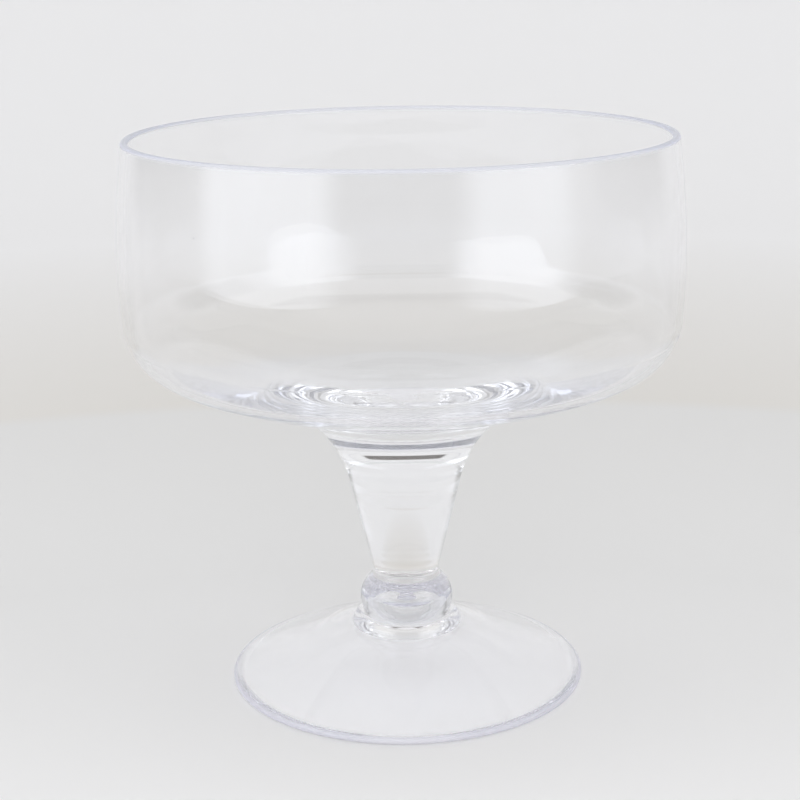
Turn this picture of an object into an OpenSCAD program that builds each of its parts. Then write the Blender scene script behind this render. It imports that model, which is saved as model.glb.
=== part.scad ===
// Footed glass trifle bowl: a blown bowl on a drawn stem, a ball knop, a collar and a conical foot.
// Millimetres, +Z up. The origin is the centre of the ring that the foot stands on.
// The pieces are stacked on one axis and meet face to face, as hot glass is joined.

/* [Bowl] */
// Outside diameter of the bowl at its widest
bowl_d = 204.8; // [190:0.2:225]
// How far the wall is drawn in at the rim, on each side
rim_draw = 3.4; // [1.5:0.1:6]
// Height of the bowl from the middle of its underside to the top of its rim
bowl_depth = 102; // [85:1:130]
// Distance from the top of the rim down to the widest place of the wall
belly_drop = 46.5; // [30:0.5:58]
// Radius of the corner between the wall and the underside
corner_r = 22; // [14:0.5:30]
// Radius of the shallow curve of the underside
underside_r = 226; // [180:1:320]
// Thickness of the glass in the wall
wall_t = 2.8; // [2:0.1:4]
// Thickness of the glass in the middle of the floor
floor_t = 5; // [3.5:0.1:7]
// Thickness of the glass at the edge of the floor, where the corner begins
floor_edge_t = 2.6; // [2:0.1:3.4]

/* [Stem] */
// Diameter of the stem at its neck, where it is thinnest
neck_d = 24.6; // [20:0.2:27]
// Height of the stem from its neck to the middle of the bowl's underside
stem_h = 62; // [54:1:80]
// Slope of the stem's side, away from upright
stem_slope = 13.7; // [10:0.1:16]
// Radius of the hollow curve that spreads the stem under the bowl
flare_r = 43.5; // [34:0.5:50]

/* [Knop] */
// Diameter of the knop at its widest
knop_d = 35; // [32:0.2:42]
// Radius of the knop's rounded side
knop_round_r = 11.3; // [10.5:0.1:13]
// Radius of the groove between the knop and the neck
groove_r = 4; // [2.5:0.1:6]
// Diameter of the face on which the knop sits on the collar
knop_seat_d = 28.4; // [26:0.2:30]

/* [Collar] */
// Diameter of the collar at its widest, where it meets the foot
collar_d = 41.2; // [38:0.2:48]
// Height of the collar's upright side, below its shoulder
collar_side_h = 0.7; // [0.3:0.1:3]
// Radius of the collar's rounded shoulder
shoulder_r = 3.4; // [2.5:0.1:4.5]

/* [Foot] */
// Diameter of the foot
foot_d = 133.6; // [115:0.2:160]
// Height of the foot from the table to the collar
foot_h = 20.2; // [14:0.2:26]
// Width of the gentler slope round the collar
brow_w = 9.9; // [6:0.1:14]
// How far that gentler slope falls
brow_drop = 2.9; // [1:0.1:5]
// Distance over which the gentler slope eases into the steeper one, on each side
brow_ease = 2.5; // [1:0.1:5]
// Thickness of the foot at its rounded edge
edge_t = 2.6; // [2:0.1:3.2]
// Thickness of the foot's glass on its slope
slope_t = 3.9; // [3.6:0.1:6]
// Thickness of the glass between the top of the hollow underneath and the collar
hub_t = 2; // [1.2:0.1:4]

/* [Hidden] */
$fn = 180;

// Steps in a small round corner and in a long shallow curve
corner_steps = 16;
sweep_steps = 24;

// Radii
bowl_r = bowl_d / 2;
rim_r = bowl_r - rim_draw;
neck_r = neck_d / 2;
knop_r = knop_d / 2;
knop_seat_r = knop_seat_d / 2;
collar_r = collar_d / 2;
foot_r = foot_d / 2;
lip_r = wall_t / 2;
edge_r = edge_t / 2;

// The point at distance along from centre in the direction angle
function at(centre, radius, angle) = centre + radius * [cos(angle), sin(angle)];

// Points of an arc, both ends included
function arc(centre, radius, from, to, steps) =
    [for (i = [0:steps]) at(centre, radius, from + (to - from) * i / steps)];

// Direction from point a to point b
function heading(a, b) = atan2(b[1] - a[1], b[0] - a[0]);

// The outer one of the two points that lie at distance ra from a and rb from b
function outer_meeting(a, ra, b, rb) =
    let (
        gap = norm(b - a),
        along = (ra * ra - rb * rb + gap * gap) / (2 * gap),
        aside = sqrt(ra * ra - along * along),
        u = (b - a) / gap
    )
    a + along * u + aside * [abs(u[1]), -u[0] * sign(u[1])];

// Points of a curve that leaves a and reaches b in the directions of their common corner
function eased(a, corner, b, steps) =
    [for (i = [0:steps]) let (t = i / steps)
        pow(1 - t, 2) * a + 2 * t * (1 - t) * corner + t * t * b];

// The place at the given height on the line through a point in a direction
function at_height(point, direction, height) =
    point + (height - point[1]) / direction[1] * direction;

// Collar: a short upright side, then a shoulder that is the outer and upper part of a circle
shoulder_c = [collar_r - shoulder_r, foot_h + collar_side_h];
seat_angle = 180 - acos((shoulder_c[0] - knop_seat_r) / shoulder_r);
knop_seat_z = at(shoulder_c, shoulder_r, seat_angle)[1];

// Knop: a round side, then a groove that ends at the neck
knop_c = [
    knop_r - knop_round_r,
    knop_seat_z + sqrt(pow(knop_round_r, 2) - pow(knop_seat_r - knop_r + knop_round_r, 2))
];
groove_c = [
    neck_r + groove_r,
    knop_c[1] + sqrt(pow(knop_round_r + groove_r, 2) - pow(neck_r + groove_r - knop_c[0], 2))
];
neck_z = groove_c[1];

// Heights of the bowl
bowl_z = neck_z + stem_h;
lip_z = bowl_z + bowl_depth - lip_r;
belly_z = bowl_z + bowl_depth - belly_drop;

// Curves of the bowl: the wall, the underside and the corner between them
wall_rise = lip_z - belly_z;
wall_r = (pow(wall_rise, 2) + pow(rim_draw, 2)) / (2 * rim_draw);
wall_c = [bowl_r - wall_r, belly_z];
underside_c = [0, bowl_z + underside_r];
function corner_c(floor_c, floor, wall, corner) =
    outer_meeting(floor_c, floor - corner, wall_c, wall - corner);

// Curve of the inside of the floor, which thins from the middle to the corner
turn_angle = heading(underside_c, corner_c(underside_c, underside_r, wall_r, corner_r));
floor_edge = at(underside_c, underside_r - floor_edge_t, turn_angle);
floor_rise = floor_edge[1] - bowl_z - floor_t;
inside_r = (pow(floor_edge[0], 2) + pow(floor_rise, 2)) / (2 * floor_rise);
inside_c = [0, bowl_z + floor_t + inside_r];

// Flare of the stem: it touches the stem's straight side and the underside of the bowl
side_up = [sin(stem_slope), cos(stem_slope)];
side_out = [cos(stem_slope), -sin(stem_slope)];
neck = [neck_r, neck_z];
flare_start = neck + flare_r * side_out - underside_c;
flare_run = -flare_start * side_up
    - sqrt(pow(flare_start * side_up, 2) - flare_start * flare_start + pow(underside_r + flare_r, 2));
flare_c = neck + flare_r * side_out + flare_run * side_up;
flare_angle = heading(underside_c, flare_c);

// The stretch of the underside that the stem carries, from the flare's edge to the middle
carried = arc(underside_c, underside_r, flare_angle, -90, sweep_steps);

// Wall, corner and floor of one side of the bowl's glass, with the wall set in by inset
function bowl_curve(inset, floor_c, floor, floor_end) =
    let (
        wall = wall_r - inset,
        corner = corner_r - inset,
        c = corner_c(floor_c, floor, wall, corner)
    )
    concat(
        arc(wall_c, wall, heading(wall_c, [rim_r, lip_z]), heading(wall_c, c), sweep_steps),
        arc(c, corner, heading(wall_c, c), heading(floor_c, c), corner_steps),
        arc(floor_c, floor, heading(floor_c, c), floor_end, sweep_steps)
    );

function reversed(list) = [for (i = [len(list) - 1:-1:0]) list[i]];

module bowl() {
    color([0.86, 0.88, 0.94, 0.5])
    rotate_extrude()
    polygon(concat(
        bowl_curve(0, underside_c, underside_r, flare_angle),
        carried,
        reversed(bowl_curve(wall_t, inside_c, inside_r, -90)),
        arc([rim_r - lip_r, lip_z], lip_r, 180, 0, corner_steps)
    ));
}

// The foot's upper side falls gently from the collar to the brow, then more steeply, and
// runs smoothly into the rounded edge
seam = [collar_r, foot_h];
brow = seam + [brow_w, -brow_drop];
edge_c = [foot_r - edge_r, edge_r];
touch_angle = heading(edge_c, brow) - acos(edge_r / norm(brow - edge_c));
edge_top = at(edge_c, edge_r, touch_angle);
falling = (edge_top - brow) / norm(edge_top - brow);
leaving = (brow - seam) / norm(brow - seam);

// The hollow underneath runs parallel to the slope and is domed under the collar
hollow_side = edge_top + slope_t * [falling[1], -falling[0]];
hollow_h = foot_h - hub_t;
dome_corner = at_height(hollow_side, falling, hollow_h);
dome_edge = dome_corner + dome_corner[0] / falling[0] * falling;

module foot() {
    color([0.84, 0.86, 0.93, 0.5])
    rotate_extrude()
    polygon(concat(
        [[0, foot_h], seam],
        eased(brow - brow_ease * leaving, brow, brow + brow_ease * falling, corner_steps),
        arc(edge_c, edge_r, touch_angle, -90, corner_steps),
        [at_height(hollow_side, falling, 0)],
        eased(dome_edge, dome_corner, [0, hollow_h], sweep_steps)
    ));
}

module collar() {
    color([0.80, 0.84, 0.95, 0.5])
    rotate_extrude()
    polygon(concat(
        [[0, foot_h], seam],
        arc(shoulder_c, shoulder_r, 0, seat_angle, corner_steps),
        [[0, knop_seat_z]]
    ));
}

module knop() {
    color([0.88, 0.90, 0.96, 0.5])
    rotate_extrude()
    polygon(concat(
        [[0, knop_seat_z]],
        arc(knop_c, knop_round_r, heading(knop_c, [knop_seat_r, knop_seat_z]),
            heading(knop_c, groove_c), sweep_steps),
        arc(groove_c, groove_r, heading(groove_c, knop_c) + 360, 180, corner_steps),
        [[0, neck_z]]
    ));
}

module stem() {
    color([0.85, 0.87, 0.92, 0.5])
    rotate_extrude()
    polygon(concat(
        [[0, neck_z], neck],
        arc(flare_c, flare_r, 180 - stem_slope, heading(flare_c, underside_c), sweep_steps),
        carried
    ));
}

foot();
collar();
knop();
stem();
bowl();
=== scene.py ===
"""Footed glass trifle bowl: five pieces of clear hand-made glass, joined hot, in a bright studio.

Lengths of the glass are in millimetres and are turned into metres where a mesh is made.
"""
import math

import bmesh
import bpy
from mathutils import Matrix, Vector, noise


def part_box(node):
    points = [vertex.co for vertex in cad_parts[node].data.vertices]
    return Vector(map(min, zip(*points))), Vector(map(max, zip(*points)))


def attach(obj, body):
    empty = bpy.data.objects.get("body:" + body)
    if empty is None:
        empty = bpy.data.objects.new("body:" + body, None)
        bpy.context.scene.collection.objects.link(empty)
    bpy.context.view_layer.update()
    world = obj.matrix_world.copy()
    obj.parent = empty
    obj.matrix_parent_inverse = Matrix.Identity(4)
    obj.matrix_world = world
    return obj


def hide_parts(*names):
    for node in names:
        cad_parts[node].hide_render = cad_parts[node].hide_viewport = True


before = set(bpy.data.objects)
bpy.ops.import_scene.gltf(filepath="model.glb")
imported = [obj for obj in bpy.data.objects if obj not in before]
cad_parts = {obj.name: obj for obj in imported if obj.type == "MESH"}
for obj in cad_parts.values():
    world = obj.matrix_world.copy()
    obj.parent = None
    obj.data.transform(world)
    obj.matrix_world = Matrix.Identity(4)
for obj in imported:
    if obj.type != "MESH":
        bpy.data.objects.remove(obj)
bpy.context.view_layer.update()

MM = 0.001
# Points in each ring of a turned piece
SEGMENTS = 288
# Kinds of face, by the index of their material
GLASS, JOINT = 0, 1

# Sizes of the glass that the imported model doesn't give by its boxes, in millimetres and degrees
RIM_DRAW = 3.4
BELLY_DROP = 46.5
CORNER_R = 22.0
UNDERSIDE_R = 226.0
WALL_T = 2.8
FLOOR_T = 5.0
FLOOR_EDGE_T = 2.6
NECK_R = 12.3
STEM_SLOPE = 13.7
FLARE_R = 43.5
KNOP_ROUND_R = 11.3
GROOVE_R = 4.0
SEAT_R = 14.2
SHOULDER_R = 3.4
BROW_W = 9.9
BROW_DROP = 2.9
BROW_EASE = 2.5
EDGE_T = 2.6
SLOPE_T = 3.9
HUB_T = 2.0


def node_box(node):
    """Reach from the axis, lowest height and highest height of a CAD node, in millimetres."""
    low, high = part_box(node)
    return min(high.x, high.y, -low.x, -low.y) / MM, low.z / MM, high.z / MM


FOOT_R, _, FOOT_H = node_box("foot")
COLLAR_R, _, SHOULDER_TOP = node_box("collar")
KNOP_R, SEAT_Z, NECK_Z = node_box("knop")
BOWL_R, BOWL_Z, RIM_TOP = node_box("bowl")
RIM_R = BOWL_R - RIM_DRAW
LIP_R = WALL_T / 2
LIP_Z = RIM_TOP - LIP_R
BELLY_Z = RIM_TOP - BELLY_DROP


def at(centre, radius, angle):
    """The point at a distance from a centre, in a direction given in degrees."""
    turn = math.radians(angle)
    return Vector((centre[0] + radius * math.cos(turn), centre[1] + radius * math.sin(turn)))


def arc(centre, radius, start, end, steps):
    """Points of an arc, both ends included."""
    return [at(centre, radius, start + (end - start) * i / steps) for i in range(steps + 1)]


def straight(a, b, steps):
    """Points of a straight line, both ends included."""
    return [a.lerp(b, i / steps) for i in range(steps + 1)]


def eased(a, corner, b, steps):
    """Points of a curve that leaves a and reaches b in the directions of their common corner."""
    shares = [i / steps for i in range(steps + 1)]
    return [a.lerp(corner, t).lerp(corner.lerp(b, t), t) for t in shares]


def heading(a, b):
    """Direction from a to b, in degrees."""
    return math.degrees(math.atan2(b[1] - a[1], b[0] - a[0]))


def outer_meeting(a, reach_a, b, reach_b):
    """The outer one of the two points at given distances from a and b."""
    gap = (b - a).length
    along = (reach_a**2 - reach_b**2 + gap**2) / (2 * gap)
    aside = math.sqrt(reach_a**2 - along**2)
    u = (b - a) / gap
    return a + along * u + aside * Vector((abs(u.y), -u.x * math.copysign(1, u.y)))


def at_height(point, direction, height):
    """The place at a height on the line through a point in a direction."""
    return point + (height - point.y) / direction.y * direction


# An outline is a list of (points, kind). The last number of each arc or line in it is its
# number of steps


def foot_outline():
    """The foot: a gentle slope, a brow, a steeper slope, a round edge and a domed hollow below."""
    seam = Vector((COLLAR_R, FOOT_H))
    brow = seam + Vector((BROW_W, -BROW_DROP))
    edge_r = EDGE_T / 2
    edge_c = Vector((FOOT_R - edge_r, edge_r))
    touch = heading(edge_c, brow) - math.degrees(math.acos(edge_r / (brow - edge_c).length))
    edge_top = at(edge_c, edge_r, touch)
    falling = (edge_top - brow).normalized()
    leaving = (brow - seam).normalized()
    hollow_side = edge_top + SLOPE_T * Vector((falling.y, -falling.x))
    dome_corner = at_height(hollow_side, falling, FOOT_H - HUB_T)
    dome_edge = dome_corner + dome_corner.x / falling.x * falling
    rest = at_height(hollow_side, falling, 0)
    brow_in = brow - BROW_EASE * leaving
    brow_out = brow + BROW_EASE * falling
    return [
        (straight(Vector((0, FOOT_H)), seam, 6), JOINT),
        (straight(seam, brow_in, 8), GLASS),
        (eased(brow_in, brow, brow_out, 24), GLASS),
        (straight(brow_out, edge_top, 24), GLASS),
        (arc(edge_c, edge_r, touch, -90, 24), GLASS),
        (straight(at(edge_c, edge_r, -90), rest, 3), GLASS),
        (straight(rest, dome_edge, 16), GLASS),
        (eased(dome_edge, dome_corner, Vector((0, FOOT_H - HUB_T)), 48), GLASS),
    ]


def collar_outline():
    """The collar: a short upright side and a round shoulder that dips to the knop's seat."""
    shoulder_c = Vector((COLLAR_R - SHOULDER_R, SHOULDER_TOP - SHOULDER_R))
    seam = Vector((COLLAR_R, FOOT_H))
    seat = Vector((SEAT_R, SEAT_Z))
    return [
        (straight(Vector((0, FOOT_H)), seam, 6), JOINT),
        (straight(seam, at(shoulder_c, SHOULDER_R, 0), 3), GLASS),
        (arc(shoulder_c, SHOULDER_R, 0, heading(shoulder_c, seat), 40), GLASS),
        (straight(seat, Vector((0, SEAT_Z)), 5), JOINT),
    ]


def knop_centres():
    """Centres of the knop's round side and of the groove above it."""
    side_x = KNOP_R - KNOP_ROUND_R
    side = Vector((side_x, SEAT_Z + math.sqrt(KNOP_ROUND_R**2 - (SEAT_R - side_x) ** 2)))
    return side, Vector((NECK_R + GROOVE_R, NECK_Z))


def knop_outline():
    """The knop: a round side, and a groove under the neck."""
    side, groove = knop_centres()
    seat = Vector((SEAT_R, SEAT_Z))
    return [
        (straight(Vector((0, SEAT_Z)), seat, 5), JOINT),
        (arc(side, KNOP_ROUND_R, heading(side, seat), heading(side, groove), 130), GLASS),
        (arc(groove, GROOVE_R, heading(groove, side) + 360, 180, 28), GLASS),
        (straight(Vector((NECK_R, NECK_Z)), Vector((0, NECK_Z)), 5), JOINT),
    ]


def flare():
    """Start of the stem's flare, its centre, and the direction from the underside's centre to it."""
    slope = math.radians(STEM_SLOPE)
    up = Vector((math.sin(slope), math.cos(slope)))
    out = Vector((up.y, -up.x))
    neck = Vector((NECK_R, NECK_Z))
    underside_c = Vector((0, BOWL_Z + UNDERSIDE_R))
    start = neck + FLARE_R * out - underside_c
    along = start.dot(up)
    run = -along - math.sqrt(along**2 - start.dot(start) + (UNDERSIDE_R + FLARE_R) ** 2)
    centre = neck + FLARE_R * out + run * up
    return neck + run * up, centre, heading(underside_c, centre)


FLARE_START, FLARE_C, FLARE_ANGLE = flare()


def carried():
    """The stretch of the bowl's underside that the stem carries, from the flare's edge to the middle."""
    return arc((0, BOWL_Z + UNDERSIDE_R), UNDERSIDE_R, FLARE_ANGLE, -90, 30)


def stem_outline():
    """The stem: a straight tapered side and a flare that runs into the underside of the bowl."""
    neck = Vector((NECK_R, NECK_Z))
    return [
        (straight(Vector((0, NECK_Z)), neck, 5), JOINT),
        (straight(neck, FLARE_START, 220), GLASS),
        (arc(FLARE_C, FLARE_R, 180 - STEM_SLOPE, FLARE_ANGLE + 180, 260), GLASS),
        (carried(), JOINT),
    ]


def wall_circle():
    """Centre and radius of the curve of the wall's outer side."""
    rise = LIP_Z - BELLY_Z
    radius = (rise**2 + RIM_DRAW**2) / (2 * RIM_DRAW)
    return Vector((BOWL_R - radius, BELLY_Z)), radius


def bowl_side(inset, floor_c, floor_r, floor_end, steps):
    """Wall, corner and floor of one side of the bowl's glass, from the lip to floor_end."""
    wall_c, full_r = wall_circle()
    wall, corner = full_r - inset, CORNER_R - inset
    c = outer_meeting(floor_c, floor_r - corner, wall_c, wall - corner)
    return (
        arc(wall_c, wall, heading(wall_c, (RIM_R, LIP_Z)), heading(wall_c, c), steps)
        + arc(c, corner, heading(wall_c, c), heading(floor_c, c), steps)[1:]
        + arc(floor_c, floor_r, heading(floor_c, c), floor_end, steps)[1:]
    )


def inside_floor(underside_c):
    """Centre and radius of the inside of the floor, which thins from the middle to the corner."""
    wall_c, full_r = wall_circle()
    c = outer_meeting(underside_c, UNDERSIDE_R - CORNER_R, wall_c, full_r - CORNER_R)
    edge = at(underside_c, UNDERSIDE_R - FLOOR_EDGE_T, heading(underside_c, c))
    rise = edge.y - (BOWL_Z + FLOOR_T)
    radius = (edge.x**2 + rise**2) / (2 * rise)
    return Vector((0, BOWL_Z + FLOOR_T + radius)), radius


def bowl_outline():
    """The bowl: the inside from the middle of the floor to the lip, then the outside and the joint."""
    underside_c = Vector((0, BOWL_Z + UNDERSIDE_R))
    floor_c, floor_r = inside_floor(underside_c)
    inside = bowl_side(WALL_T, floor_c, floor_r, -90, 72)[::-1]
    return [
        (inside, GLASS),
        (arc((RIM_R - LIP_R, LIP_Z), LIP_R, 180, 0, 28), GLASS),
        (bowl_side(0, underside_c, UNDERSIDE_R, FLARE_ANGLE, 72), GLASS),
        (carried(), JOINT),
    ]


def still(radius, height, turn):
    """No deviation from the turned form."""
    return 0.0


def smooth(value, start, end):
    """Zero up to start, one from end, and a soft rise between them."""
    u = min(max((value - start) / (end - start), 0.0), 1.0)
    return u * u * (3 - 2 * u)


def wave(turn, height, round_count, length, seed):
    """A slow wave between zero and one, which closes on itself round the axis."""
    place = Vector((round_count * math.cos(turn), round_count * math.sin(turn), height / length + seed))
    return 0.5 + 0.5 * noise.noise(place)


def marks(height, table):
    """Depth of shallow turned grooves, listed as (height, half width, depth)."""
    return sum(depth * math.exp(-(((height - place) / half) ** 2)) for place, half, depth in table)


# Rings that the tools left in the glass: height, half width and depth in millimetres
STEM_MARKS = (
    (45.2, 0.9, 0.03),
    (48.0, 0.8, 0.015),
    (71.9, 0.6, 0.03),
    (78.4, 0.6, 0.04),
    (81.6, 0.6, 0.04),
    (84.6, 0.9, 0.03),
    (88.2, 1.1, 0.02),
    (92.0, 1.2, 0.02),
)
KNOP_MARKS = ((27.5, 1.6, 0.03), (33.6, 0.7, 0.03), (38.2, 0.5, 0.04))
# How far the rings wander up and down, in millimetres
STEM_WANDER, KNOP_WANDER = 0.5, 0.3
# Makes up for the wave that thins the stem's rings in places
STEM_GAIN = 1.4
# Depth of the slow waves and of the finer ones in the wall, and of the waves in the foot
WALL_WAVE, WALL_RIPPLE, FOOT_WAVE = 0.20, 0.04, 0.12
INNER_SEED, OUTER_SEED = 31.0, 47.0


def stem_marks(radius, height, turn):
    """Rings in the stem, which wander a little in depth and height."""
    ring = marks(height + STEM_WANDER * wave(turn, 0, 1.2, 1, 3.0), STEM_MARKS)
    return ring * wave(turn, height, 1.5, 9, 7.0) * STEM_GAIN


def knop_marks(radius, height, turn):
    """Rings in the knop's side, which wander a little in height."""
    return marks(height + KNOP_WANDER * wave(turn, 0, 1.0, 1, 11.0), KNOP_MARKS)


def blown_waves(radius, height, turn):
    """Slow waves in the blown wall, which fade out towards the rim and the floor."""
    from_floor = smooth(height, BOWL_Z + 10, BOWL_Z + 36)
    keep = from_floor * (1 - smooth(height, RIM_TOP - 12, RIM_TOP - 2))
    middle = BOWL_R - 0.5 * WALL_T - RIM_DRAW * smooth(height, BELLY_Z, RIM_TOP)
    seed = INNER_SEED if radius < middle else OUTER_SEED
    slow = WALL_WAVE * wave(turn, height, 2.6, 34, seed)
    return keep * (slow + WALL_RIPPLE * wave(turn, height, 13.0, 90, seed + 9))


def foot_waves(radius, height, turn):
    """Slow waves in the foot, which fade out towards the collar and the edge."""
    from_collar = smooth(radius, COLLAR_R + 3, COLLAR_R + 12)
    keep = from_collar * (1 - smooth(radius, FOOT_R - 8, FOOT_R - 2))
    return keep * FOOT_WAVE * wave(turn, radius, 1.6, 20, 61.0)


# Seeds in the wall of the bowl: turn in degrees, height and radius in millimetres
SEEDS = (
    (229.0, 182.0, 0.20),
    (285.0, 139.0, 0.13),
    (318.0, 186.0, 0.12),
    (61.0, 178.0, 0.15),
    (198.0, 150.0, 0.12),
)
# A soft rise from the belly to this height keeps the seeds inside the wall's curve
LEAN_TOP = RIM_TOP + 25


def add_seeds(piece):
    """Tiny bubbles in the middle of the wall, whose faces look into the air inside them."""
    mesh = piece.data
    work = bmesh.new()
    work.from_mesh(mesh)
    for turn, height, size in SEEDS:
        middle = BOWL_R - RIM_DRAW * smooth(height, BELLY_Z, LEAN_TOP) - 0.5 * WALL_T
        angle = math.radians(turn)
        place = Vector((middle * math.cos(angle), middle * math.sin(angle), height)) * MM
        spot = Matrix.Translation(place)
        made = bmesh.ops.create_icosphere(work, subdivisions=3, radius=size * MM, matrix=spot)
        faces = {face for vert in made["verts"] for face in vert.link_faces}
        bmesh.ops.reverse_faces(work, faces=list(faces))
        for face in faces:
            face.smooth = True
            face.material_index = GLASS
    work.to_mesh(mesh)
    work.free()


# Points nearer to each other, or to the axis, than these lengths in millimetres count as one
SAME_POINT, ON_AXIS = 1e-5, 1e-4


def joined(stretches):
    """One row of points from (points, kind) stretches, and the kind of the face after each point."""
    points, kinds = [stretches[0][0][0]], []
    for stretch, kind in stretches:
        for p in stretch[1:]:
            if (p - points[-1]).length > SAME_POINT:
                points.append(p)
                kinds.append(kind)
    return points, kinds


def on_glass(kinds, i):
    """Whether point i has a glass face beside it and no joint."""
    beside = kinds[max(i - 1, 0):i + 1]
    return GLASS in beside and JOINT not in beside


def turned_rings(points, kinds, inward, segments):
    """Vertices of a turned mesh, and the numbers of the vertices in each ring."""
    verts, rings = [], []
    for i, p in enumerate(points):
        if p[0] < ON_AXIS:
            rings.append([len(verts)])
            verts.append((0, 0, p[1] * MM))
            continue
        rings.append(list(range(len(verts), len(verts) + segments)))
        free = on_glass(kinds, i)
        for k in range(segments):
            turn = 2 * math.pi * k / segments
            r = (p[0] - (inward(p[0], p[1], turn) if free else 0)) * MM
            verts.append((r * math.cos(turn), r * math.sin(turn), p[1] * MM))
    return verts, rings


def face_between(a, b, k, segments):
    """Face k between two neighbouring rings, of which one may be a single point on the axis."""
    n = (k + 1) % segments
    if len(a) == 1:
        return a[0], b[k], b[n]
    if len(b) == 1:
        return a[k], b[0], a[n]
    return a[k], b[k], b[n], a[n]


def outward_normals(mesh):
    """Turns the faces of a mesh outwards and shades them smoothly, except across sharp corners."""
    work = bmesh.new()
    work.from_mesh(mesh)
    bmesh.ops.recalc_face_normals(work, faces=work.faces)
    work.to_mesh(mesh)
    work.free()
    mesh.polygons.foreach_set("use_smooth", [True] * len(mesh.polygons))
    mesh.set_sharp_from_angle(angle=math.radians(30))


def lathe(name, stretches, inward=still, segments=SEGMENTS):
    """A turned piece, in metres, from stretches of (points, kind). inward gives a deviation."""
    points, kinds = joined(stretches)
    verts, rings = turned_rings(points, kinds, inward, segments)
    faces, index = [], []
    for a, b, kind in zip(rings, rings[1:], kinds):
        faces += [face_between(a, b, k, segments) for k in range(segments)]
        index += [kind] * segments
    mesh = bpy.data.meshes.new(name)
    mesh.from_pydata(verts, [], faces)
    mesh.polygons.foreach_set("material_index", index)
    mesh.update()
    outward_normals(mesh)
    piece = bpy.data.objects.new(name, mesh)
    bpy.context.scene.collection.objects.link(piece)
    return piece


def link(tree, source, target):
    """Joins an output of a shader node to an input."""
    tree.links.new(source, target)


def new_material(name):
    """An empty material, its tree of nodes and the socket for its surface."""
    mat = bpy.data.materials.new(name)
    mat.use_nodes = True
    tree = mat.node_tree
    tree.nodes.clear()
    out = tree.nodes.new("ShaderNodeOutputMaterial")
    return mat, tree, out.inputs["Surface"]


def ramp(tree, value, stops):
    """A colour ramp over value, from (place, colour) stops."""
    node = tree.nodes.new("ShaderNodeValToRGB")
    band = node.color_ramp
    while len(band.elements) < len(stops):
        band.elements.new(1.0)
    for element, (place, colour) in zip(band.elements, stops):
        element.position = place
        element.color = (*colour, 1)
    link(tree, value, node.inputs[0])
    return node.outputs["Color"]


def blend(tree, factor, first, second):
    """Mixes two colours, each a socket or three numbers."""
    node = tree.nodes.new("ShaderNodeMix")
    node.data_type = "RGBA"
    link(tree, factor, node.inputs[0])
    for value, socket in ((first, node.inputs[6]), (second, node.inputs[7])):
        if isinstance(value, tuple):
            socket.default_value = (*value, 1)
        else:
            link(tree, value, socket)
    return node.outputs[2]


def mix_shader(tree, factor, first, second):
    """The first shader where factor is zero, the second where it is one."""
    node = tree.nodes.new("ShaderNodeMixShader")
    link(tree, factor, node.inputs[0])
    link(tree, first, node.inputs[1])
    link(tree, second, node.inputs[2])
    return node.outputs[0]


def clear_shader(tree, colour=(1, 1, 1)):
    """A shader that light crosses without bending, in the given colour."""
    node = tree.nodes.new("ShaderNodeBsdfTransparent")
    node.inputs["Color"].default_value = (*colour, 1)
    return node.outputs[0]


def math_node(tree, operation, a, b=None):
    """A Math node over sockets or numbers."""
    node = tree.nodes.new("ShaderNodeMath")
    node.operation = operation
    for value, socket in ((a, node.inputs[0]), (b, node.inputs[1])):
        if isinstance(value, (int, float)):
            socket.default_value = value
        elif value is not None:
            link(tree, value, socket)
    return node.outputs[0]


def map_range(tree, value, start, end, first, last):
    """Carries value softly from one range to another."""
    node = tree.nodes.new("ShaderNodeMapRange")
    node.interpolation_type = "SMOOTHSTEP"
    link(tree, value, node.inputs["Value"])
    sockets = ("From Min", "From Max", "To Min", "To Max")
    for socket, number in zip(sockets, (start, end, first, last)):
        node.inputs[socket].default_value = number
    return node.outputs[0]


def grain(tree, stretch, detail):
    """Noise over the piece, stretched by a factor along each axis."""
    where = tree.nodes.new("ShaderNodeTexCoord")
    place = tree.nodes.new("ShaderNodeMapping")
    place.inputs["Scale"].default_value = stretch
    link(tree, where.outputs["Object"], place.inputs["Vector"])
    cloud = tree.nodes.new("ShaderNodeTexNoise")
    cloud.inputs["Scale"].default_value = 1.0
    cloud.inputs["Detail"].default_value = detail
    link(tree, place.outputs[0], cloud.inputs["Vector"])
    return cloud.outputs["Fac"]


def coordinate(tree, axis):
    """The shaded point's place along one axis of its own object."""
    where = tree.nodes.new("ShaderNodeTexCoord")
    split = tree.nodes.new("ShaderNodeSeparateXYZ")
    link(tree, where.outputs["Object"], split.inputs[0])
    return split.outputs[axis]


def axis_height(tree):
    """Height of the shaded point, in metres."""
    return coordinate(tree, "Z")


def axis_reach(tree):
    """Distance of the shaded point from the axis, in metres."""
    where = tree.nodes.new("ShaderNodeTexCoord")
    flat = tree.nodes.new("ShaderNodeVectorMath")
    flat.operation = "MULTIPLY"
    link(tree, where.outputs["Object"], flat.inputs[0])
    flat.inputs[1].default_value = (1, 1, 0)
    reach = tree.nodes.new("ShaderNodeVectorMath")
    reach.operation = "LENGTH"
    link(tree, flat.outputs[0], reach.inputs[0])
    return reach.outputs["Value"]


def distance_from(tree, place):
    """Distance of the shaded point from a place in its own object."""
    where = tree.nodes.new("ShaderNodeTexCoord")
    reach = tree.nodes.new("ShaderNodeVectorMath")
    reach.operation = "DISTANCE"
    link(tree, where.outputs["Object"], reach.inputs[0])
    reach.inputs[1].default_value = place
    return reach.outputs["Value"]


# Height in the bowl's wall that lies as far from the tinted floor as from the tinted rim
CLEAREST = (BOWL_Z + RIM_TOP) / 2 + 5.0
TO_RIM = RIM_TOP - CLEAREST


def from_clearest(tree):
    """Distance of the shaded point above or below the clearest height of the bowl, in metres."""
    return math_node(tree, "ABSOLUTE", math_node(tree, "SUBTRACT", axis_height(tree), CLEAREST * MM))


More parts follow.
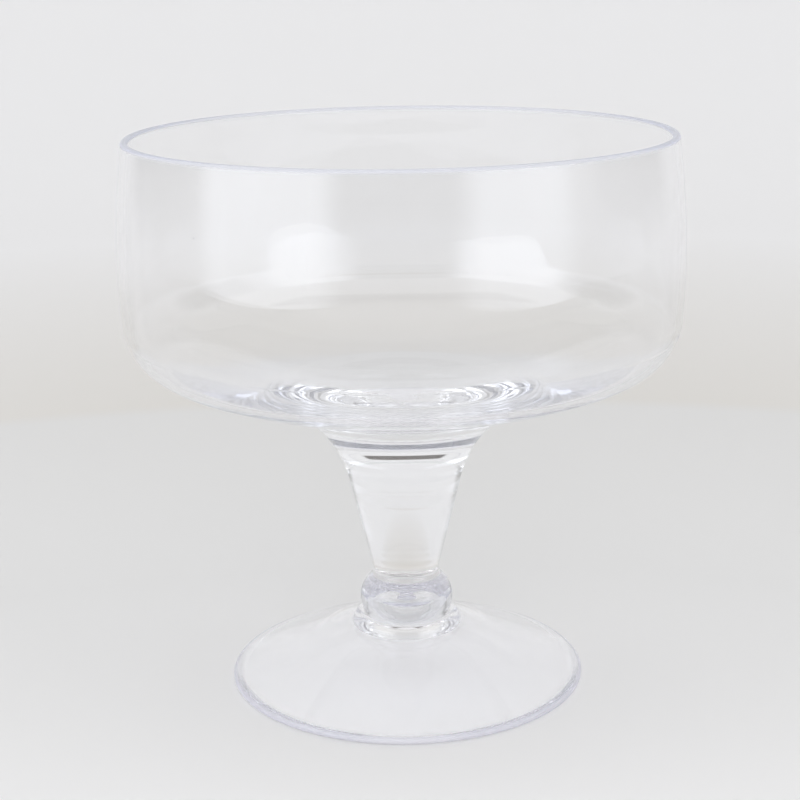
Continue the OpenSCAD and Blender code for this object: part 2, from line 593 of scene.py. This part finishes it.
# Lighter and deeper tint of clear glass: thin glass, solid glass, and the ball. The ball's deep grey
# tint is
# painted shade: it stands in for dark reflections in the ball that the scene doesn't make
THIN = ((0.9984, 0.9984, 0.9997), (0.9976, 0.9977, 0.9996))
SOLID = ((0.9955, 0.9960, 0.9985), (0.9935, 0.9945, 0.9980))
BALL_PAINTED_SHADE = ((0.950, 0.953, 0.962), (0.905, 0.909, 0.922))
BODY = {"bowl": THIN, "foot": THIN, "stem": SOLID, "knop": BALL_PAINTED_SHADE, "collar": SOLID}
BLUE_EDGE = (0.990, 0.992, 0.9995)
WARM_NECK = (0.985, 0.979, 0.970)
# Where a piece takes a second tint: the measure, where it starts and ends, and the tint there
TINTED = {
    "bowl": (from_clearest, (TO_RIM - 4.0) * MM, (TO_RIM - 0.5) * MM, BLUE_EDGE),
    "foot": (axis_reach, (FOOT_R - 2.2) * MM, (FOOT_R - 0.4) * MM, BLUE_EDGE),
    "stem": (axis_height, (NECK_Z + 6.0) * MM, (NECK_Z + 1.0) * MM, WARM_NECK),
    "knop": (axis_height, (NECK_Z - 8.5) * MM, (NECK_Z - 6.5) * MM, WARM_NECK),
    "collar": (axis_reach, (COLLAR_R - 3.0) * MM, COLLAR_R * MM, BLUE_EDGE),
}
# Grain of the surface: how close it is along each axis, per metre, and its depth in metres
GRAIN = {
    "bowl": ((26, 26, 9), 0.00006),
    "foot": ((30, 30, 30), 0.00005),
    "stem": ((14, 14, 300), 0.000008),
    "knop": ((20, 20, 200), 0.000005),
    "collar": ((60, 60, 200), 0.00001),
}
# Painted light where light carried along the glass makes a rounded edge pale: the measure, its start,
# the place where it is full, and its colour
PAINTED_EDGE_LIGHT = {
    "bowl": (axis_height, (RIM_TOP - 1.5) * MM, (RIM_TOP - 0.8) * MM, (0.70, 0.71, 0.765)),
    "foot": (axis_reach, (FOOT_R - 1.6) * MM, (FOOT_R - 0.7) * MM, (0.71, 0.70, 0.755)),
}
# The largest share of the pale painted edge light in the glass
EDGE_LIGHT_SHARE = 0.7
# Roughness where the surface is clean and where it is smudged; handling has dulled the foot
ROUGH = {
    "bowl": (0.0, 0.02),
    "foot": (0.08, 0.12),
    "stem": (0.0, 0.02),
    "knop": (0.0, 0.02),
    "collar": (0.0, 0.02),
}
# How close the clouds of tint and the smudges are along each axis, per metre
TINT_CLOUDS = (18, 18, 12)
SMUDGES = (45, 45, 45)
# Stretch of the noise over which a clean surface turns into a smudged one
SMUDGE_FROM, SMUDGE_TO = 0.52, 0.78
IOR = 1.5
# What the glass lets through of the light that falls on the table
SHADOW_TINT = (0.97, 0.97, 0.97)


def paint_edge_light(tree, glass, place):
    """Adds painted light to clear glass: a pale diffuse colour at a rounded edge, for light carried
    along the glass.
    """
    measure, start, full, colour = place
    edge_light = tree.nodes.new("ShaderNodeBsdfDiffuse")
    edge_light.inputs["Color"].default_value = (*colour, 1)
    share = map_range(tree, measure(tree), start, full, 0.0, EDGE_LIGHT_SHARE)
    return mix_shader(tree, share, glass, edge_light.outputs[0])


def glass_tint(tree, node_name):
    """The faint tint of a piece, in soft clouds, with a second tint at its edge or neck."""
    measure, start, end, second = TINTED[node_name]
    light, deep = BODY[node_name]
    body = ramp(tree, grain(tree, TINT_CLOUDS, 2.0), [(0.35, light), (0.65, deep)])
    return blend(tree, map_range(tree, measure(tree), start, end, 0.0, 1.0), body, second)


def glass_bump(tree, node_name):
    """The faint unevenness of a surface."""
    stretch, depth = GRAIN[node_name]
    bump = tree.nodes.new("ShaderNodeBump")
    bump.inputs["Strength"].default_value = 1.0
    bump.inputs["Distance"].default_value = depth
    link(tree, grain(tree, stretch, 1.5), bump.inputs["Height"])
    return bump.outputs[0]


def glass_material(node_name):
    """Clear glass. Shadow rays pass through it, so that the table beneath is lit."""
    mat, tree, surface = new_material(node_name + "_clear_glass")
    glass = tree.nodes.new("ShaderNodeBsdfGlass")
    glass.inputs["IOR"].default_value = IOR
    link(tree, glass_tint(tree, node_name), glass.inputs["Color"])
    clean, smudged = ROUGH[node_name]
    smudge = map_range(tree, grain(tree, SMUDGES, 3.0), SMUDGE_FROM, SMUDGE_TO, clean, smudged)
    link(tree, smudge, glass.inputs["Roughness"])
    link(tree, glass_bump(tree, node_name), glass.inputs["Normal"])
    body = glass.outputs[0]
    # Pale painted light at rounded edges, where a piece has it
    if node_name in PAINTED_EDGE_LIGHT:
        body = paint_edge_light(tree, body, PAINTED_EDGE_LIGHT[node_name])
    path = tree.nodes.new("ShaderNodeLightPath")
    shadow = path.outputs["Is Shadow Ray"]
    link(tree, mix_shader(tree, shadow, body, clear_shader(tree, SHADOW_TINT)), surface)
    return mat


def joint_material():
    """The fused faces inside the glass, which light crosses as if they weren't there."""
    mat, tree, surface = new_material("fused_joint")
    link(tree, clear_shader(tree), surface)
    return mat


def dress(node, outline, inward=still):
    """Makes the glass of one node, which stands in for the CAD node."""
    piece = lathe("clear_" + node, outline, inward)
    piece.data.materials.append(glass_material(node))
    piece.data.materials.append(fused)
    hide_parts(node)
    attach(piece, "root")
    return piece


# Camera, fitted to the ellipses of the rim and the foot
FOCAL_PX = 1741.3
IMAGE_PX = 800
SENSOR_MM = 36
CAMERA_AT = (0, -0.6238, 0.2761)
CAMERA_DOWN, CAMERA_TURN, CAMERA_ROLL = 15.142, 0.13, -0.85


def make_camera():
    """The camera, at the place and angle of the photo's."""
    data = bpy.data.cameras.new("camera")
    data.sensor_width = SENSOR_MM
    data.lens = FOCAL_PX / IMAGE_PX * SENSOR_MM
    data.clip_start = 0.01
    camera = bpy.data.objects.new("camera", data)
    bpy.context.scene.collection.objects.link(camera)
    camera.matrix_world = (
        Matrix.Translation(CAMERA_AT)
        @ Matrix.Rotation(math.radians(CAMERA_TURN), 4, "Z")
        @ Matrix.Rotation(math.radians(90 - CAMERA_DOWN), 4, "X")
        @ Matrix.Rotation(math.radians(CAMERA_ROLL), 4, "Z")
    )
    bpy.context.scene.camera = camera


# Studio, in metres. The floor lies a hair below the glass, as air lies between foot and table
FLOOR_GAP = 0.0002
FLOOR_FLAT_R = 1.1
COVE_R = 0.8
WALL_TOP = 1.1
FLOOR_SEGMENTS = 128
AXIS = (0, 0, 0)
# The table's far edge is part of a wide circle, and a little soft
TABLE_CENTRE = (0, -0.39, 0)
TABLE_R = 0.785
TABLE_SOFT = 0.01
# Rows of (distance, colour). Painted light: the table is painted pale near its centre, in front of the
# object, and dimmer towards its edge, where less light falls
TABLE_PAINTED_LIGHT = ((0.14, (0.945, 0.935, 0.925)), (0.50, (0.765, 0.76, 0.75)))
# The paper behind the table, by distance from the object. Painted shade: it is darker near the table and
# paler further off, as the light falls
PAPER_PAINTED_SHADE = ((0.39, (0.75, 0.73, 0.695)), (1.0, (0.917, 0.914, 0.917)))
# Painted light: a pool of light painted on the table beneath the foot, where light gathers through the
# glass, a little less beneath the stem
PAINTED_POOL_SHADES = (
    (0.010, (0.90, 0.89, 0.89)),
    (0.030, (0.93, 0.92, 0.92)),
    (0.052, (0.945, 0.935, 0.93)),
)
# How far inside and outside the foot's edge that painted pool of light fades
POOL_IN, POOL_OUT = 0.004, 0.003


def floor_outline():
    """Outline of the flat floor, the cove and the wall, in millimetres."""
    flat = Vector((FLOOR_FLAT_R, -FLOOR_GAP)) / MM
    cove_c = Vector((FLOOR_FLAT_R, COVE_R - FLOOR_GAP)) / MM
    wall_foot = at(cove_c, COVE_R / MM, 0)
    return [
        (straight(Vector((0, flat.y)), flat, 12), GLASS),
        (arc(cove_c, COVE_R / MM, -90, 0, 48), GLASS),
        (straight(wall_foot, Vector((wall_foot.x, WALL_TOP / MM)), 4), GLASS),
    ]


def table_colour(tree):
    """Colour of the table, with its painted light and the painted pool of light beneath the foot."""
    top = ramp(tree, distance_from(tree, TABLE_CENTRE), TABLE_PAINTED_LIGHT)
    beneath = ramp(tree, distance_from(tree, AXIS), PAINTED_POOL_SHADES)
    rim = FOOT_R * MM
    patch = map_range(tree, distance_from(tree, AXIS), rim - POOL_IN, rim + POOL_OUT, 1.0, 0.0)
    return blend(tree, patch, top, beneath)


def make_floor():
    """A pale table whose far edge shows softly against a paper floor that curves up into a wall."""
    floor = lathe("floor", floor_outline(), segments=FLOOR_SEGMENTS)
    mat = bpy.data.materials.new("white_table")
    mat.use_nodes = True
    tree = mat.node_tree
    face = tree.nodes["Principled BSDF"]
    face.inputs["Roughness"].default_value = 0.9
    face.inputs["Specular IOR Level"].default_value = 0.1
    paper = ramp(tree, distance_from(tree, AXIS), PAPER_PAINTED_SHADE)
    edge = [(TABLE_R - TABLE_SOFT, (0, 0, 0)), (TABLE_R + TABLE_SOFT, (1, 1, 1))]
    past_table = ramp(tree, distance_from(tree, TABLE_CENTRE), edge)
    link(tree, blend(tree, past_table, table_colour(tree), paper), face.inputs["Base Color"])
    floor.data.materials.append(mat)


def polar(azimuth, distance, height):
    """A place round the object; azimuth 0 is the camera's side and grows to the right."""
    turn = math.radians(azimuth)
    return Vector((distance * math.sin(turn), -distance * math.cos(turn), height))


def hidden_sheet(name, corners, faces, matrix):
    """A flat mesh that the glass sees and the camera doesn't."""
    mesh = bpy.data.meshes.new(name)
    mesh.from_pydata(corners, [], faces)
    sheet = bpy.data.objects.new(name, mesh)
    bpy.context.scene.collection.objects.link(sheet)
    sheet.matrix_world = matrix
    sheet.visible_camera = False
    return sheet


def panel(name, place, target, width, height):
    """An oblong sheet that faces a target."""
    unit = ((-0.5, -0.5), (0.5, -0.5), (0.5, 0.5), (-0.5, 0.5))
    corners = [(x * width, y * height, 0) for x, y in unit]
    turn = (Vector(target) - Vector(place)).to_track_quat("Z", "Y")
    matrix = Matrix.Translation(place) @ turn.to_matrix().to_4x4()
    return hidden_sheet(name, corners, [(0, 1, 2, 3)], matrix)


def edge_fade(tree, along, half, soft):
    """One in the middle of a sheet, falling to zero over a soft stretch at its edges."""
    return map_range(tree, math_node(tree, "ABSOLUTE", along), half - soft, half, 1.0, 0.0)


def lit_sheet(sheet, colour, mask, lights_table):
    """Gives a sheet an even brightness where mask is one, and leaves it clear where mask is zero."""
    mat, tree, surface = new_material(sheet.name)
    glow = tree.nodes.new("ShaderNodeEmission")
    glow.inputs["Color"].default_value = (*colour, 1)
    glow.inputs["Strength"].default_value = 1.0
    link(tree, mix_shader(tree, mask(tree), clear_shader(tree), glow.outputs[0]), surface)
    sheet.data.materials.append(mat)
    sheet.visible_diffuse = lights_table
    sheet.visible_shadow = lights_table


def glow_sheet(name, place, target, size, colour, soft, lights_table):
    """A sheet, width by height, which fades away towards its sides and towards its top and bottom."""
    width, height = size
    soft_across, soft_along = soft

    def mask(tree):
        across = edge_fade(tree, coordinate(tree, "X"), width / 2, soft_across)
        along = edge_fade(tree, coordinate(tree, "Y"), height / 2, soft_along)
        return math_node(tree, "MULTIPLY", across, along)

    lit_sheet(panel(name, place, target, width, height), colour, mask, lights_table)


# Soft boxes beside the camera: name, azimuth, width and colour
BOXES = (
    ("left_box", -52.0, 1.16, (1.93, 1.98, 2.08)),
    ("right_box", 45.0, 0.96, (1.88, 1.93, 2.03)),
)
# Distance from the axis, height of the middle, height of a box and its soft edges
BOX_REACH, BOX_LEVEL, BOX_TALL, BOX_SOFT = 0.90, 0.38, 1.10, (0.3, 0.2)
SIDE_LEVEL = 0.44
SIDE_COLOUR = (0.24, 0.235, 0.225)
# Dimmer parts of the studio, which only the glass sees. They glow at a set brightness rather than being
# lit, painted stand-ins for the room's dimmer surfaces: name, place, target, width and height, colour,
# and the soft stretches across and along
DIM_WALLS = (
    ("curtain", (0, -1.05, 0.5), (0, 0, 0.5), (1.4, 0.96), (0.42, 0.43, 0.425), (0.26, 0.2)),
    ("left_side", polar(-106, 1.02, SIDE_LEVEL), (0, 0, SIDE_LEVEL), (1.15, 0.86), SIDE_COLOUR,
     (0.3, 0.3)),
    ("right_side", polar(101, 1.02, SIDE_LEVEL), (0, 0, SIDE_LEVEL), (1.15, 0.86), SIDE_COLOUR,
     (0.3, 0.3)),
    ("over_wall", (0, 1.0, 0.74), (0, 0, 0.1), (1.3, 0.30), (0.70, 0.70, 0.705), (0.2, 0.10)),
    ("ceiling", (0, 0.08, 1.25), (0, 0.08, 0), (1.3, 0.58), (0.19, 0.175, 0.165), (0.1, 0.10)),
)
# Half width and half depth of the oval table, and the place of the dimmer floor round it
OVAL_REACH = (0.60, 0.385)
NEAR_FLOOR_AT = (0, -0.05, 0.001)
NEAR_FLOOR_COLOUR = (0.50, 0.492, 0.457)
# The rest is in units of the oval's reach: rows and columns of the sheet's corners, where the
# sheet starts, where it ends, and where it thins towards the back to a small share
NEAR_ROWS = (-2.4, 0.3, 2.0)
NEAR_COLUMNS = (-2.4, -0.5, 0.5, 2.4)
NEAR_START = (0.99, 1.01)
NEAR_END = (1.5, 2.35)
NEAR_BACK = (-0.4, 0.9)
NEAR_BACK_SHARE = 0.15


def make_boxes():
    """Two soft boxes beside the camera, which light the table and show in the glass."""
    for name, azimuth, width, colour in BOXES:
        place = polar(azimuth, BOX_REACH, BOX_LEVEL)
        target = (0, 0, BOX_LEVEL)
        glow_sheet(name, place, target, (width, BOX_TALL), colour, BOX_SOFT, True)


def near_floor_mask(tree):
    """Where the dimmer floor shows: past the oval's edge, less and less further off and behind."""
    reach = distance_from(tree, (0, 0, 0))
    from_edge = map_range(tree, reach, *NEAR_START, 0.0, 1.0)
    from_end = map_range(tree, reach, *NEAR_END, 1.0, 0.0)
    from_back = map_range(tree, coordinate(tree, "Y"), *NEAR_BACK, 1.0, NEAR_BACK_SHARE)
    return math_node(tree, "MULTIPLY", math_node(tree, "MULTIPLY", from_edge, from_end), from_back)


def near_floor():
    """The dimmer floor round an oval table, as far as the glass mirrors it: a sheet that glows at a set
    brightness rather than being lit.
    """
    corners = [(x, y, 0) for y in NEAR_ROWS for x in NEAR_COLUMNS]
    # Three faces in front, and one on each side of the gap behind the object
    faces = [(0, 1, 5, 4), (1, 2, 6, 5), (2, 3, 7, 6), (4, 5, 9, 8), (6, 7, 11, 10)]
    matrix = Matrix.Translation(NEAR_FLOOR_AT) @ Matrix.Diagonal((*OVAL_REACH, 1, 1))
    sheet = hidden_sheet("near_floor", corners, faces, matrix)
    lit_sheet(sheet, NEAR_FLOOR_COLOUR, near_floor_mask, False)


def make_dim_walls():
    """The dimmer parts of the studio, which only the glass sees."""
    for name, place, target, size, colour, soft in DIM_WALLS:
        glow_sheet(name, place, target, size, colour, soft, False)
    near_floor()


WORLD_COLOUR = (0.86, 0.86, 0.86)
GLASS_BOUNCES = 512
CLEAR_BOUNCES = 64
BLUR_GLOSSY = 0.3


def make_world():
    """An even pale light all round."""
    world = bpy.data.worlds.new("studio")
    world.use_nodes = True
    background = world.node_tree.nodes["Background"]
    background.inputs["Color"].default_value = (*WORLD_COLOUR, 1)
    background.inputs["Strength"].default_value = 1.0
    bpy.context.scene.world = world


def make_studio():
    """The table and its surroundings, the light, and how far light is followed through glass."""
    make_floor()
    make_boxes()
    make_dim_walls()
    make_world()
    scene = bpy.context.scene
    scene.view_settings.view_transform = "Standard"
    # Light crosses the glass many times before it leaves, so its path may be long
    scene.cycles.max_bounces = GLASS_BOUNCES
    scene.cycles.transmission_bounces = GLASS_BOUNCES
    scene.cycles.glossy_bounces = GLASS_BOUNCES
    scene.cycles.transparent_max_bounces = CLEAR_BOUNCES
    scene.cycles.blur_glossy = BLUR_GLOSSY


make_camera()
fused = joint_material()
dress("foot", foot_outline(), foot_waves)
dress("collar", collar_outline())
dress("knop", knop_outline(), knop_marks)
dress("stem", stem_outline(), stem_marks)
add_seeds(dress("bowl", bowl_outline(), blown_waves))
make_studio()
